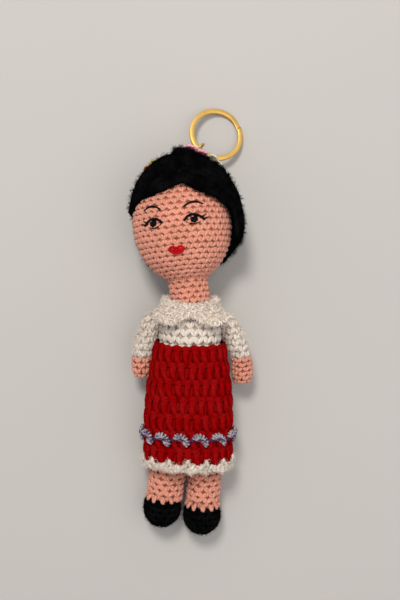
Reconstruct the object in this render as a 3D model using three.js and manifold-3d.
// Crocheted keychain doll lying on its back, in millimetres.
// +Z points out of the face, +Y towards the crown and the key ring, +X to the doll's left.
import * as THREE from "three";
import { mergeVertices } from "three/addons/utils/BufferGeometryUtils.js";
import Module from "manifold-3d";

// Yarn and clearances
const fabric = 2.1;
const seamGap = 0.35;
const turnGap = 0.45;

// How the doll lies: the body rises from the hem to the neck
const neckHeight = 21.4;
const bodyPitch = 6;
const bodyLean = 1.1;
const headLean = 5.8;
const headYaw = 10;

// Head and neck
const headHalfWidth = 21.4;
const headHalfHeight = 25.8;
const headHalfDepth = 20.3;
const headRise = 36;
const headForward = 1.2;
const neckRadius = 9.2;
const neckFlare = 0.4;
const neckInHead = 5;
const neckWall = 2.3;

// Hair
const hairSide = 3.7;
const hairTop = 5;
const hairBack = 2.7;
const hairShift = 2;
const napeHeight = 17;
const napeCorner = 17;
const napeSlope = -48;
const sweptSide = 20.6;
const sweptHeight = 41.5;
const earPlane = -2.5;
const rollRadius = 3.8;
const rollEndRadius = 2.4;
const rollForward = 3.5;
const rollShift = 5;
const rollHalfWidth = 18.5;
const rollLift = -0.6;
const rollHalfSweep = 54;

// Flowers and leaf on the crown
const petalCount = 5;
const flowerThickness = 1.9;
const flowerTilt = 30;
const pinkFlowerRadius = 7.4;
const creamFlowerRadius = 5.2;
const orangeFlowerRadius = 3.4;
const leafLength = 8.2;
const leafWidth = 4.6;
const leafThickness = 1.5;

// Body under the blouse
const bodyLength = 43;
const bodyRound = 11;
const bodyHalfWidth = 13.2;
const bodyHalfDepth = 11.4;
const shoulderHeight = 1.2;
const shoulderSlope = 2;
const shoulderDrop = 2.2;
const chestDrop = 6;
const neckWayHeight = 12;

// Collar
const collarThickness = 1.7;
const collarTop = 3.4;
const collarNotch = -1.2;
const collarPoint = -6.4;
const collarSideEdge = 0.5;
const collarBackEdge = -4.5;
const collarFlare = 1.5;
const collarSpread = 5.4;
const collarWaves = 12;
const collarWaveHeight = 0.45;

// Arms
const armPivotDrop = 1.6;
const armPitch = 9;
const sleeveRadius = 4.3;
const shoulderRadius = 3.3;
const cuffRadius = 4.1;
const handRadius = 3.8;
const sleeveLength = 21.2;
const leftHandLength = 11.4;
const rightHandLength = 9.4;
const armRestLeft = 3;
const armRestRight = -2;

// Skirt and its edgings
const skirtTop = 16.6;
const skirtLength = 52;
const skirtTopHalfWidth = 15.6;
const skirtHemHalfWidth = 19.7;
const skirtTopHalfDepth = 13.6;
const skirtHemHalfDepth = 14;
const skirtWall = 1.8;
const skirtSquareness = 2.6;
const trimAboveHem = 10.5;
const trimScallops = 14;
const trimThickness = 1.1;
const trimHeight = 3.6;
const trimWave = 1;
const hemHeight = 4.6;
const hemPicots = 16;
const hemPicotHeight = 1;

// Legs and shoes
const hipDrop = 46.5;
const hipSpread = 8.1;
const hipShift = 0.8;
const hipSink = 2.6;
const thighRadius = 7.4;
const ankleRadius = 7.1;
const leftLegLength = 43;
const rightLegLength = 40;
const leftLegLean = 2.6;
const rightLegLean = 4.9;
const shoeHalfWidth = 8.2;
const shoeHalfLength = 10.4;
const shoeHalfHeight = 8.4;
const shoeBelowAnkle = 4.6;
const shoeForward = 1.2;

// Ring chain
const keyRingDiameter = 25;
const keyRingBand = 2.15;
const keyRingLeaf = 0.72;
const keyRingTurnGap = 0.16;
const keyRingTurns = 1.94;
const keyRingTilt = 18.5;
const ringHeading = 48;
const jumpRingDiameter = 7.2;
const jumpRingWire = 0.9;
const jumpRingGap = 0.35;
const loopThread = 1.2;
const loopInner = 2.4;
const chainSide = 3.5;
const chainRise = 71;
const chainHeight = 9.3;
const loopReach = 15;
const ringDrop = 1;

const wasm = await Module();
wasm.setup();

// Small helpers for solids

function toSolid(geometry) {
  const bare = geometry.clone();
  for (const name of Object.keys(bare.attributes)) {
    if (name !== "position") bare.deleteAttribute(name);
  }
  const merged = mergeVertices(bare, 1e-4);
  return new wasm.Manifold(
    new wasm.Mesh({
      numProp: 3,
      vertProperties: merged.attributes.position.array,
      triVerts: new Uint32Array(merged.index.array),
    }),
  );
}

function toGeometry(solid) {
  const mesh = solid.getMesh();
  const points = new Float32Array(mesh.numVert * 3);
  for (let i = 0; i < mesh.numVert; i++) {
    for (let k = 0; k < 3; k++) points[i * 3 + k] = mesh.vertProperties[i * mesh.numProp + k];
  }
  const geometry = new THREE.BufferGeometry();
  geometry.setAttribute("position", new THREE.BufferAttribute(points, 3));
  geometry.setIndex(new THREE.BufferAttribute(mesh.triVerts, 1));
  geometry.computeVertexNormals();
  return geometry;
}

function cut(geometry, ...cutters) {
  let solid = toSolid(geometry);
  for (const cutter of cutters) solid = solid.subtract(toSolid(cutter));
  return toGeometry(solid);
}

function join(geometry, ...others) {
  let solid = toSolid(geometry);
  for (const other of others) solid = solid.add(toSolid(other));
  return toGeometry(solid);
}

function common(geometry, other) {
  return toGeometry(toSolid(geometry).intersect(toSolid(other)));
}

// Moves a copy of a shape from one group's frame into another's.
function carried(geometry, from, to) {
  const matrix = to.matrixWorld.clone().invert().multiply(from.matrixWorld);
  return geometry.clone().applyMatrix4(matrix);
}

// A closed surface through rings of points, each ring with the same number of points.
function loft(rings, endless = false) {
  const count = rings[0].length;
  const points = rings.flat().flatMap((p) => [p.x, p.y, p.z]);
  const faces = [];
  const bands = endless ? rings.length : rings.length - 1;
  for (let r = 0; r < bands; r++) {
    const next = (r + 1) % rings.length;
    for (let i = 0; i < count; i++) {
      const j = (i + 1) % count;
      const [a, b, c, d] = [r * count + i, r * count + j, next * count + j, next * count + i];
      faces.push(a, b, c, a, c, d);
    }
  }
  if (!endless) {
    for (const [r, flip] of [[0, true], [rings.length - 1, false]]) {
      const centre = new THREE.Vector3();
      for (const p of rings[r]) centre.addScaledVector(p, 1 / count);
      points.push(centre.x, centre.y, centre.z);
      const hub = points.length / 3 - 1;
      for (let i = 0; i < count; i++) {
        const [a, b] = [r * count + i, r * count + ((i + 1) % count)];
        faces.push(...(flip ? [hub, b, a] : [hub, a, b]));
      }
    }
  }
  const geometry = new THREE.BufferGeometry();
  geometry.setAttribute("position", new THREE.Float32BufferAttribute(points, 3));
  geometry.setIndex(faces);
  return facingOut(geometry);
}

function facingOut(geometry) {
  if (toSolid(geometry).volume() < 0) {
    const index = geometry.index.array;
    for (let i = 0; i < index.length; i += 3) {
      [index[i + 1], index[i + 2]] = [index[i + 2], index[i + 1]];
    }
  }
  return geometry;
}

// A lathe about Y from rows of radius and height, flattened in depth.
function turned(rows, segments, depthRatio = 1) {
  const geometry = new THREE.LatheGeometry(rows.map(([r, y]) => new THREE.Vector2(r, y)), segments);
  geometry.scale(1, 1, depthRatio);
  return facingOut(mergeVertices(bareShape(geometry), 1e-4));
}

function bareShape(geometry) {
  geometry.deleteAttribute("normal");
  geometry.deleteAttribute("uv");
  return geometry;
}

function ellipsoid(halfWidth, halfHeight, halfDepth, centre, around = 24, along = 12) {
  const rows = [];
  for (let i = 0; i <= along; i++) {
    const angle = (Math.PI * i) / along;
    rows.push([i % along === 0 ? 0 : Math.sin(angle), -Math.cos(angle)]);
  }
  const geometry = turned(rows, around);
  geometry.scale(halfWidth, halfHeight, halfDepth);
  geometry.translate(...centre);
  return geometry;
}

function rod(radius, low, high, sides = 24) {
  const geometry = new THREE.CylinderGeometry(radius, radius, high - low, sides);
  geometry.translate(0, (low + high) / 2, 0);
  return geometry;
}

function block(size, centre) {
  return new THREE.BoxGeometry(...size).translate(...centre);
}

// A round limb along a curve, from rows of x, y, z and radius, with rounded ends.
function limb(rows, sides = 16, steps = 10, roundStart = true, roundEnd = true) {
  const curve = new THREE.CatmullRomCurve3(rows.map(([x, y, z]) => new THREE.Vector3(x, y, z)));
  const radii = rows.map((row) => row[3]);
  const rings = [];
  const side = new THREE.Vector3();
  const front = new THREE.Vector3(0, 0, 1);
  const radiusAt = (t) => {
    const place = t * (radii.length - 1);
    const low = Math.min(Math.floor(place), radii.length - 2);
    const share = place - low;
    return radii[low] * (1 - share) + radii[low + 1] * share;
  };
  const ring = (centre, along, radius) => {
    side.crossVectors(along, front).normalize();
    const up = new THREE.Vector3().crossVectors(side, along).normalize();
    const points = [];
    for (let i = 0; i < sides; i++) {
      const angle = (2 * Math.PI * i) / sides;
      points.push(
        centre
          .clone()
          .addScaledVector(side, radius * Math.cos(angle))
          .addScaledVector(up, radius * Math.sin(angle)),
      );
    }
    rings.push(points);
  };
  const capAngles = [15, 40, 65];
  const [startAlong, endAlong] = [curve.getTangent(0), curve.getTangent(1)];
  if (roundStart) {
    for (const capAngle of capAngles) {
      const angle = THREE.MathUtils.degToRad(capAngle);
      const centre = curve.getPoint(0).addScaledVector(startAlong, -radiusAt(0) * Math.cos(angle));
      ring(centre, startAlong, radiusAt(0) * Math.sin(angle));
    }
  }
  for (let i = 0; i <= steps; i++) {
    const t = i / steps;
    ring(curve.getPoint(t), curve.getTangent(t), radiusAt(t));
  }
  if (roundEnd) {
    for (const capAngle of [...capAngles].reverse()) {
      const angle = THREE.MathUtils.degToRad(capAngle);
      const centre = curve.getPoint(1).addScaledVector(endAlong, radiusAt(1) * Math.cos(angle));
      ring(centre, endAlong, radiusAt(1) * Math.sin(angle));
    }
  }
  return loft(rings);
}

// Groups: the doll lies on the table, and each moving piece hangs on its own pivot

const doll = new THREE.Group();
doll.name = "doll";
const degrees = THREE.MathUtils.degToRad;

function pivot(name, parent, position, turns = [0, 0, 0]) {
  const group = new THREE.Group();
  group.name = name;
  group.position.set(...position);
  group.rotation.set(...turns.map(degrees));
  parent.add(group);
  doll.updateMatrixWorld(true);
  return group;
}

const neckJoint = pivot("neck_joint", doll, [0, 0, neckHeight]);
const body = pivot("body_frame", neckJoint, [0, 0, 0], [bodyPitch, 0, -bodyLean]);
const headStand = pivot("head_stand", neckJoint, [0, 0, 0], [0, 0, headLean]);
const headJoint = pivot("head_joint", headStand, [0, headRise - headHalfHeight + neckInHead / 2, 0]);
const face = pivot("face_frame", headStand, [0, headRise, headForward], [0, -headYaw, 0]);

const colours = {
  skin: [0xe8a488, 0.9],
  hair: [0x08080c, 0.95],
  white: [0xefe9e0, 0.92],
  red: [0xa0060c, 0.9],
  black: [0x0a0a10, 0.95],
  fibre: [0xf4f2ee, 1],
  lavender: [0xa297bf, 0.9],
  pink: [0xe58fae, 0.9],
  cream: [0xf3ead2, 0.9],
  orange: [0xe98a3a, 0.9],
  leaf: [0xa8b648, 0.9],
  brass: [0xc9a24a, 0.32],
};

function piece(name, geometry, parent, colour) {
  const [shade, roughness] = colours[colour];
  const metalness = colour === "brass" ? 1 : 0;
  const material = new THREE.MeshStandardMaterial({ color: shade, roughness, metalness });
  const mesh = new THREE.Mesh(geometry, material);
  mesh.name = name;
  parent.add(mesh);
  return mesh;
}

// The table side of a soft piece is pressed flat
const under = block([400, 400, 60], [0, 0, -30]);
const pressedFlat = (geometry, group) => cut(geometry, carried(under, doll, group));

// Head: a crocheted egg with a round hole for the neck, full of fibre
const headShape = (grow) =>
  ellipsoid(headHalfWidth + grow, headHalfHeight + grow, headHalfDepth + grow, [0, headRise, headForward]);
const neckEnd = headRise - headHalfHeight + neckInHead;
const headShell = cut(headShape(0), headShape(-fabric), rod(neckRadius + seamGap, -20, neckEnd + 2));
piece("head_shell", headShell, headStand, "skin");
const headFilling = cut(
  ellipsoid(
    headHalfWidth - fabric - seamGap,
    headHalfHeight - fabric - seamGap,
    headHalfDepth - fabric - seamGap,
    [0, headRise, headForward],
    16,
    8,
  ),
  rod(neckRadius + seamGap * 2, -20, neckEnd + seamGap, 18),
);
piece("head_stuffing", headFilling, headStand, "fibre");

// Neck: a tube whose lower end is a ball seated in the body
const neckBall = neckRadius + neckFlare;
const neckBore = neckRadius - neckWall;
const ballRows = [-42, -30, -18, -6, 6].map((angle) => [
  neckBall * Math.cos(degrees(angle)),
  neckBall * Math.sin(degrees(angle)),
]);
const neckTube = turned(
  [
    [neckBore, ballRows[0][1]],
    ...ballRows,
    [neckRadius, 4],
    [neckRadius, neckEnd],
    [neckBore, neckEnd],
    [neckBore, ballRows[0][1]],
  ],
  24,
);
piece("neck_tube", neckTube, headStand, "skin");
const neckFilling = rod(neckBore - seamGap, ballRows[0][1] + 0.2, neckEnd - 0.2, 18);
piece("neck_stuffing", neckFilling, headStand, "fibre");

// Hair: a cap from the hairline to the nape, swept back beside the cheek, with a slanting corner
const hairCentre = [hairShift, headRise, headForward];
const hairShape = (grow) =>
  ellipsoid(
    headHalfWidth + hairSide + grow,
    headHalfHeight + hairTop + grow,
    headHalfDepth + hairBack + grow,
    hairCentre,
  );
const hairline = [
  [1.9, 16.1], [3.6, 15.2], [5.6, 12.9], [8.4, 11.6], [12.1, 9.9], [14.9, 8.8], [17.9, 6], [21.5, 3.2],
  [22.7, 0], [40, -1], [40, -50], [-40, -50], [-40, 6.2], [-23.4, 6.2], [-20.2, 8.3], [-18.4, 9.9],
  [-15.9, 11.4], [-12.2, 11.7], [-9.9, 12.2], [-6.4, 13.3], [-3, 14.2], [-0.9, 15.9],
];
const faceShape = new THREE.Shape(hairline.map(([x, y]) => new THREE.Vector2(x, y + headRise)));
const facePrism = new THREE.ExtrudeGeometry(faceShape, { depth: 60, bevelEnabled: false });
facePrism.translate(0, 0, -20);
const frontHalf = carried(block([120, 160, 60], [0, 0, 30 + earPlane]), face, headStand);
const faceOpening = common(facePrism, frontHalf);
const belowNape = block([120, 60, 120], [0, napeHeight - 30, 0]);
const beside = block([60, 60, 120], [-sweptSide - 30, sweptHeight - 30, 0]);
const nape = block([60, 60, 120], [30, -30, 0])
  .rotateZ(degrees(-napeSlope))
  .translate(napeCorner, napeHeight, 0);
const hairCap = cut(hairShape(0), headShape(seamGap), faceOpening, belowNape, beside, nape);
piece("hair_cap", pressedFlat(hairCap, headStand), headStand, "hair");

// The plaited roll lies over the crown and is cut by the cap below it
const rollRows = [];
for (let i = -4; i <= 4; i++) {
  const angle = degrees((rollHalfSweep * i) / 4);
  rollRows.push([
    rollShift + rollHalfWidth * Math.sin(angle),
    headRise + (headHalfHeight + hairTop + rollLift) * Math.cos(angle),
    headForward + rollForward,
    rollRadius + (rollEndRadius - rollRadius) * (Math.abs(i) / 4) ** 2,
  ]);
}
const rollShape = (grow) => limb(rollRows.map(([x, y, z, r]) => [x, y, z, r + grow]), 12, 18);
piece("crown_roll", cut(rollShape(0), hairShape(seamGap)), headStand, "hair");

// Flowers: five petals and a small heart, sewn on the crown behind the roll
function flowerGeometry(radius) {
  const shape = new THREE.Shape();
  const steps = petalCount * 6;
  for (let i = 0; i < steps; i++) {
    const angle = (2 * Math.PI * i) / steps;
    const reach = radius * (0.68 + 0.32 * Math.abs(Math.sin((petalCount * angle) / 2)));
    const point = [reach * Math.cos(angle), reach * Math.sin(angle)];
    if (i === 0) shape.moveTo(...point);
    else shape.lineTo(...point);
  }
  const petals = new THREE.ExtrudeGeometry(shape, { depth: flowerThickness, bevelEnabled: false });
  const heart = new THREE.CylinderGeometry(radius * 0.26, radius * 0.32, flowerThickness * 0.5, 10)
    .rotateX(Math.PI / 2)
    .translate(0, 0, flowerThickness * 1.15);
  return join(petals, heart);
}

function leafGeometry() {
  const shape = new THREE.Shape();
  shape.moveTo(0, 0);
  shape.quadraticCurveTo(leafWidth * 0.7, leafLength * 0.4, 0, leafLength);
  shape.quadraticCurveTo(-leafWidth * 0.7, leafLength * 0.4, 0, 0);
  return new THREE.ExtrudeGeometry(shape, { depth: leafThickness, bevelEnabled: false, curveSegments: 8 });
}

// A sewn piece stands on the hair at an angle from the crown, and tips back
function sewnOnCrown(name, geometry, colour, sideAngle, back, tip, spin, lift) {
  const side = degrees(sideAngle);
  const reach = Math.sqrt(1 - (back / (headHalfDepth + hairBack)) ** 2);
  const foot = [
    hairShift + (headHalfWidth + hairSide) * reach * Math.sin(side),
    headRise + (headHalfHeight + hairTop) * reach * Math.cos(side),
    headForward - back,
  ];
  const seat = pivot(name + "_seat", headStand, foot, [0, 0, -sideAngle]);
  const tilted = pivot(name + "_tilt", seat, [0, lift, 0], [-90 - tip, 0, 0]);
  const turnedShape = geometry.rotateZ(degrees(spin));
  const cutters = [hairShape(seamGap), rollShape(seamGap)].map((c) => carried(c, headStand, tilted));
  piece(name, cut(turnedShape, ...cutters), tilted, colour);
}

sewnOnCrown("pink_flower", flowerGeometry(pinkFlowerRadius), "pink", 15, 2.8, flowerTilt, 10, 0.6);
sewnOnCrown("cream_flower", flowerGeometry(creamFlowerRadius), "cream", 41, 2.6, flowerTilt, 20, 0.6);
sewnOnCrown("orange_flower", flowerGeometry(orangeFlowerRadius), "orange", -36, 4, 30, 0, 0.5);
sewnOnCrown("green_leaf", leafGeometry(), "leaf", -28, 3.6, 30, -15, 0.5);

// Body: a stuffed bag under the blouse, open at the neck, with round shoulders
const seatRows = (grow) => [
  [neckBall + turnGap, shoulderHeight + grow],
  [bodyHalfWidth - shoulderSlope + grow, (shoulderHeight + grow * 5) / 6],
  [bodyHalfWidth - shoulderSlope * 0.45 + grow, -shoulderDrop + grow * 0.4],
  [bodyHalfWidth - shoulderSlope * 0.1 + grow, -chestDrop],
  [bodyHalfWidth + grow, -chestDrop * 2],
];
const depthRatio = bodyHalfDepth / bodyHalfWidth;
const bodyProfile = (grow) => {
  const rows = [[0, shoulderHeight + grow], ...seatRows(grow)];
  for (let i = 0; i <= 5; i++) {
    const angle = (Math.PI / 2) * (i / 5);
    const radius = i === 5 ? 0 : (bodyHalfWidth + grow) * Math.cos(angle);
    rows.push([radius, bodyRound - bodyLength - (bodyRound + grow) * Math.sin(angle)]);
  }
  return rows;
};
const bodyShape = (grow, around = 20) => turned(bodyProfile(grow), around, depthRatio);
const neckSeat = ellipsoid(neckBall + turnGap, neckBall + turnGap, neckBall + turnGap, [0, 0, 0], 20, 10);
const neckWay = rod(neckBall + turnGap, 0, neckWayHeight);
const hips = [1, -1].map((side) => ({
  side,
  place: [side * hipSpread + hipShift, -hipDrop, -hipSink],
}));
const hipBall = (hip, grow) => {
  const radius = thighRadius + grow;
  return ellipsoid(radius, radius, radius, hip.place, 16, 8);
};
const seats = [carried(neckSeat, headStand, body), carried(neckWay, headStand, body)];
const hipSeats = hips.map((hip) => hipBall(hip, turnGap));
const hipWalls = hips.map((hip) => hipBall(hip, turnGap + fabric));
const bodyHollow = cut(bodyShape(-fabric), ...hipWalls);
const bodyBase = cut(bodyShape(0), bodyHollow, ...seats, ...hipSeats);
const wideRadius = neckBall + turnGap * 2;
const wideBall = ellipsoid(wideRadius, wideRadius, wideRadius, [0, 0, 0], 18, 10);
const wideSeats = [wideBall, rod(wideRadius, 0, neckWayHeight, 18)].map((c) => carried(c, headStand, body));
const hipReliefs = hips.map((hip) => hipBall(hip, fabric + turnGap + seamGap));
piece("blouse_body", bodyBase, body, "white");
const bodyFilling = cut(turned(bodyProfile(-fabric - seamGap), 18, depthRatio), ...wideSeats, ...hipReliefs);
piece("torso_stuffing", bodyFilling, body, "fibre");

// Collar: a frill in two halves that meet at the front, short over the arms
const collarEdges = [
  [0, collarNotch], [10, collarPoint * 0.8], [24, collarPoint], [42, collarPoint], [56, collarPoint * 0.5],
  [66, collarSideEdge], [114, collarSideEdge], [132, collarBackEdge * 0.7], [150, collarBackEdge],
  [180, collarBackEdge],
];
const collarSpreads = [
  [0, 0], [24, collarSpread * 0.3], [42, collarSpread * 0.75], [52, collarSpread], [60, collarSpread * 0.3],
  [66, 0], [180, 0],
];

function between(table, at) {
  const above = table.findIndex(([key]) => key >= at);
  if (above <= 0) return table[Math.max(above, 0)][1];
  const [[k0, v0], [k1, v1]] = [table[above - 1], table[above]];
  return v0 + ((v1 - v0) * (at - k0)) / (k1 - k0);
}

const shoulderTable = seatRows(0).map(([r, y]) => [-y, r]);
const collarInner = neckBall + turnGap * 2;
function collarGeometry(steps = 48) {
  const rings = [];
  for (let i = 0; i < steps; i++) {
    const turn = (2 * Math.PI * i) / steps;
    const fromFront = Math.abs(THREE.MathUtils.radToDeg(turn) - (turn > Math.PI ? 360 : 0));
    const edge = between(collarEdges, fromFront);
    const lobe = edge < 0 ? 1 : 0;
    const skin = (y) => between([[-9, collarInner], ...shoulderTable], -y);
    const at = (share, out) => {
      const y = collarTop + (edge - collarTop) * share;
      const wave = collarWaveHeight * Math.sin(collarWaves * turn) * share * lobe;
      const spread = between(collarSpreads, fromFront) * share ** 2;
      const flare = collarFlare * share ** 3 * lobe + spread + wave + out;
      const wide = Math.max(skin(y) + seamGap, collarInner) + flare;
      const deep = Math.max((skin(y) + seamGap) * depthRatio + seamGap, collarInner) + flare;
      return new THREE.Vector3(wide * Math.sin(turn), y, deep * Math.cos(turn));
    };
    const thick = collarThickness * (edge > 0 ? 0.8 : 1);
    const shares = [0, 0.4, 0.75, 1];
    const inner = shares.map((share) => at(share, 0));
    const outer = shares.map((share) => at(share, thick)).reverse();
    rings.push([...inner, ...outer]);
  }
  return loft(rings, true);
}
piece("collar_frill", cut(collarGeometry(), bodyShape(seamGap)), body, "white");

// Skirt: a bell of tall stitches that hangs from the waist, nearly square in section
const skirtRows = [
  [0, skirtTopHalfWidth, skirtTopHalfDepth],
  [0.12, skirtTopHalfWidth + 0.26 * (skirtHemHalfWidth - skirtTopHalfWidth), skirtTopHalfDepth],
  [0.24, skirtTopHalfWidth + 0.52 * (skirtHemHalfWidth - skirtTopHalfWidth), skirtTopHalfDepth],
  [0.4, skirtTopHalfWidth + 0.8 * (skirtHemHalfWidth - skirtTopHalfWidth), skirtTopHalfDepth],
  [0.6, skirtTopHalfWidth + 0.95 * (skirtHemHalfWidth - skirtTopHalfWidth), skirtHemHalfDepth],
  [1, skirtHemHalfWidth, skirtHemHalfDepth],
];
const skirtAt = (share) => ({
  wide: between(skirtRows.map(([s, w]) => [s, w]), share),
  deep: between(skirtRows.map(([s, , d]) => [s, d]), share),
});

function squareRing(wide, deep, y, grow, sides, lift = () => 0, swell = () => 0) {
  const points = [];
  for (let i = 0; i < sides; i++) {
    const angle = (2 * Math.PI * i) / sides;
    const [c, s] = [Math.cos(angle), Math.sin(angle)];
    const power = 2 / skirtSquareness;
    const out = grow + swell(angle);
    points.push(
      new THREE.Vector3(
        (wide + out) * Math.sign(c) * Math.abs(c) ** power,
        y + lift(angle),
        (deep + out) * Math.sign(s) * Math.abs(s) ** power,
      ),
    );
  }
  return points;
}

const skirtSides = 40;
const skirtRing = (share, grow, y = -skirtTop - share * skirtLength) => {
  const { wide, deep } = skirtAt(share);
  return squareRing(wide, deep, y, grow, skirtSides);
};
const skirtShares = skirtRows.map(([share]) => share);
const skirtOuter = skirtShares.map((share) => skirtRing(share, 0));
const skirtInner = skirtShares.map((share) => skirtRing(share, -skirtWall));
const skirt = loft([...skirtOuter, ...skirtInner.reverse()], true);
piece("skirt", pressedFlat(skirt, body), body, "red");
const skirtBulk = (grow) => loft(skirtShares.map((share) => skirtRing(share, grow)));

// The lavender trim is a scalloped cord laid round the skirt
const trimDrop = skirtLength - trimAboveHem;
const trimShare = trimDrop / skirtLength;
const trimSides = trimScallops * 6;
const trimLift = (angle) => trimWave * (Math.abs(Math.sin((trimScallops * angle) / 2)) - 0.5);
const trimRing = (dy, grow) => {
  const { wide, deep } = skirtAt(trimShare);
  return squareRing(wide, deep, -skirtTop - trimDrop + dy, grow, trimSides, trimLift);
};
const trim = loft(
  [
    trimRing(trimHeight / 2, seamGap),
    trimRing(trimHeight / 2, seamGap + trimThickness),
    trimRing(-trimHeight / 2, seamGap + trimThickness),
    trimRing(-trimHeight / 2, seamGap),
  ],
  true,
);
piece("skirt_trim", pressedFlat(cut(trim, skirtBulk(seamGap * 0.8)), body), body, "lavender");

// The white edge under the hem ends in small points
const hemSides = hemPicots * 4;
const picot = (angle) => -hemPicotHeight * (0.5 - 0.5 * Math.cos(hemPicots * angle));
const hemTop = -skirtTop - skirtLength - seamGap;
const hemRing = (drop, grow, lift) =>
  squareRing(skirtHemHalfWidth, skirtHemHalfDepth, hemTop - drop, grow, hemSides, lift);
const hem = loft(
  [
    hemRing(0, -skirtWall),
    hemRing(0, 0.1),
    hemRing(hemHeight / 2, 0.4),
    hemRing(hemHeight, 0, picot),
    hemRing(hemHeight, -skirtWall, picot),
  ],
  true,
);
piece("skirt_hem", pressedFlat(hem, body), body, "white");

// Arms hang from a seam at the top of the shoulder; the left one is the doll's own left, at +X
const armSide = bodyHalfWidth + seamGap;
const sleeveRows = [
  [shoulderRadius, -shoulderRadius, 0, shoulderRadius],
  [shoulderRadius + 3, -9.6, 0, sleeveRadius - 0.2],
  [shoulderRadius + 4.8, -16.4, 0, sleeveRadius],
  [shoulderRadius + 5.2, -sleeveLength, 0, cuffRadius],
];
const cuffEnd = sleeveRows[3];
const handRows = (length) => [
  [cuffEnd[0], -sleeveLength - seamGap, 0, cuffRadius - 0.2],
  [cuffEnd[0], -sleeveLength - length * 0.4, 0, handRadius],
  [cuffEnd[0] - 0.2, -sleeveLength - length + handRadius, 0, handRadius - 0.3],
];
const handLengths = { left: leftHandLength, right: rightHandLength };
const armRest = { left: armRestLeft, right: -armRestRight };
for (const [name, side] of [["left", 1], ["right", -1]]) {
  const place = [side * armSide, -armPivotDrop, 0];
  const arm = pivot(name + "_arm_joint", body, place, [armPitch, 0, armRest[name]]);
  const sleeve = limb(sleeveRows, 14, 8, true, false).scale(side, 1, 1);
  const hand = limb(handRows(handLengths[name]), 14, 4, false, true).scale(side, 1, 1);
  const cutters = [carried(bodyShape(seamGap), body, arm), carried(skirtBulk(seamGap), body, arm)];
  piece(name + "_sleeve", cut(facingOut(sleeve), ...cutters), arm, "white");
  piece(name + "_hand", cut(facingOut(hand), ...cutters), arm, "skin");
}

// Legs: stuffed tubes with round tops seated under the body, and shoes that close them
const legLength = { left: leftLegLength, right: rightLegLength };
const legLean = { left: -leftLegLean, right: -rightLegLean };
for (const hip of hips) {
  const name = hip.side > 0 ? "left" : "right";
  const leg = pivot(name + "_leg_joint", body, hip.place, [0, 0, legLean[name]]);
  const ankle = -legLength[name];
  const legRows = (grow, end) => [
    [0, 0, 0, thighRadius + grow],
    [0, ankle * 0.5, 0, (thighRadius + ankleRadius) / 2 + grow],
    [0, ankle + end, 0, ankleRadius + grow],
  ];
  const outer = limb(legRows(0, 0), 18, 6, true, false);
  const bore = limb(legRows(-fabric, -4), 18, 6, true, false);
  piece(name + "_leg", cut(outer, bore), leg, "skin");
  const footCentre = [0, ankle - seamGap - shoeBelowAnkle, shoeForward];
  const foot = (grow, around = 18, along = 10) =>
    ellipsoid(
      shoeHalfWidth + grow,
      shoeHalfHeight + grow,
      shoeHalfLength + grow,
      footCentre,
      around,
      along,
    );
  const aboveAnkle = block([60, 60, 60], [0, ankle - seamGap + 30, 0]);
  const ankleBore = rod(ankleRadius - fabric, ankle - shoeBelowAnkle, ankle + 5, 18);
  const shoe = cut(foot(0), foot(-fabric), aboveAnkle, ankleBore);
  piece(name + "_shoe", pressedFlat(shoe, leg), leg, "black");
  const legFibre = limb(legRows(-fabric - seamGap, -4), 14, 4, true, false);
  const filling = join(legFibre, cut(foot(-fabric - seamGap, 14, 8), aboveAnkle));
  piece(name + "_leg_stuffing", filling, leg, "fibre");
}

// Ring chain: a yarn loop in the crown, a wire jump ring through it, and the split ring
const chain = pivot("chain_frame", doll, [chainSide, chainRise, chainHeight], [0, 0, -ringHeading]);
const jumpInner = jumpRingDiameter / 2 - jumpRingWire;
const threadRise = jumpInner - seamGap - loopThread / 2;
const loopJoint = pivot("loop_joint", chain, [0, 0, threadRise]);
const arch = (loopInner + loopThread) / 2;
const loopRows = [[-arch, -loopReach, 0], [-arch, -loopReach * 0.6, 0], [-arch, -arch, 0]];
for (const turn of [-60, -30, 0, 30, 60]) {
  loopRows.push([arch * Math.sin(degrees(turn)), -arch + arch * Math.cos(degrees(turn)), 0]);
}
loopRows.push([arch, -arch, 0], [arch, -loopReach * 0.6, 0], [arch, -loopReach, 0]);
const loopThreadRows = loopRows.map(([x, y, z]) => [x, y, z, loopThread / 2]);
const loopShape = limb(loopThreadRows, 6, 26, false, false);
const yarnLoop = cut(loopShape, carried(hairShape(seamGap), headStand, loopJoint));
piece("hanging_loop", yarnLoop, loopJoint, "white");

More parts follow.
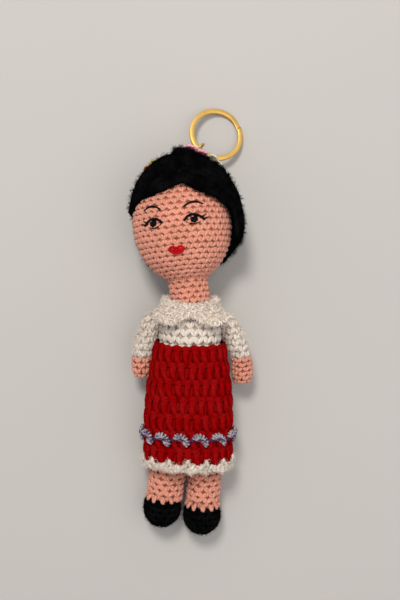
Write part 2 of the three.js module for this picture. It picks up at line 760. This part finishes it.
const jumpJoint = pivot("jump_ring_joint", chain, [0, 0, threadRise]);
const jumpPath = [];
const jumpMean = (jumpRingDiameter - jumpRingWire) / 2;
const jumpSteps = 24;
const jumpSplit = jumpRingGap / jumpMean;
for (let i = 0; i <= jumpSteps; i++) {
  const angle = Math.PI / 2 + jumpSplit / 2 + ((2 * Math.PI - jumpSplit) * i) / jumpSteps;
  jumpPath.push(angle);
}
const jumpRings = jumpPath.map((angle) => {
  const points = [];
  for (let k = 0; k < 8; k++) {
    const around = (2 * Math.PI * k) / 8;
    const reach = jumpMean + (jumpRingWire / 2) * Math.cos(around);
    points.push(
      new THREE.Vector3(
        (jumpRingWire / 2) * Math.sin(around),
        reach * Math.cos(angle),
        reach * Math.sin(angle) - threadRise,
      ),
    );
  }
  return points;
});
piece("jump_ring", loft(jumpRings), jumpJoint, "brass");

const ringJoint = pivot("key_ring_joint", chain, [0, 0, -ringDrop], [-keyRingTilt, 0, 0]);
const ringMean = (keyRingDiameter - keyRingBand) / 2;
const leafStep = keyRingLeaf + keyRingTurnGap;
const ringSteps = 60;
const [bevelAcross, bevelUp] = [0.8, 0.28];
const bandSection = [
  [-1, -bevelUp], [-1, bevelUp], [-bevelAcross, 1], [bevelAcross, 1],
  [1, bevelUp], [1, -bevelUp], [bevelAcross, -1], [-bevelAcross, -1],
];
const ringSections = [];
for (let i = 0; i <= ringSteps; i++) {
  const turns = (keyRingTurns * i) / ringSteps;
  const angle = 2 * Math.PI * turns + Math.PI / 2;
  const climb = THREE.MathUtils.smoothstep(turns, 0.95, 1.02);
  const lift = (climb - 0.5) * leafStep;
  ringSections.push(
    bandSection.map(([across, up]) => {
      const reach = ringMean + (across * keyRingBand) / 2;
      return new THREE.Vector3(
        reach * Math.cos(angle),
        ringMean + reach * Math.sin(angle),
        lift + (up * keyRingLeaf) / 2,
      );
    }),
  );
}
piece("key_ring", loft(ringSections), ringJoint, "brass");

// The origin goes under the middle of the lying doll
const box = new THREE.Box3().setFromObject(doll, true);
const middle = box.getCenter(new THREE.Vector3());
doll.position.set(-middle.x, -middle.y, -box.min.z);
doll.updateMatrixWorld(true);

export default doll;
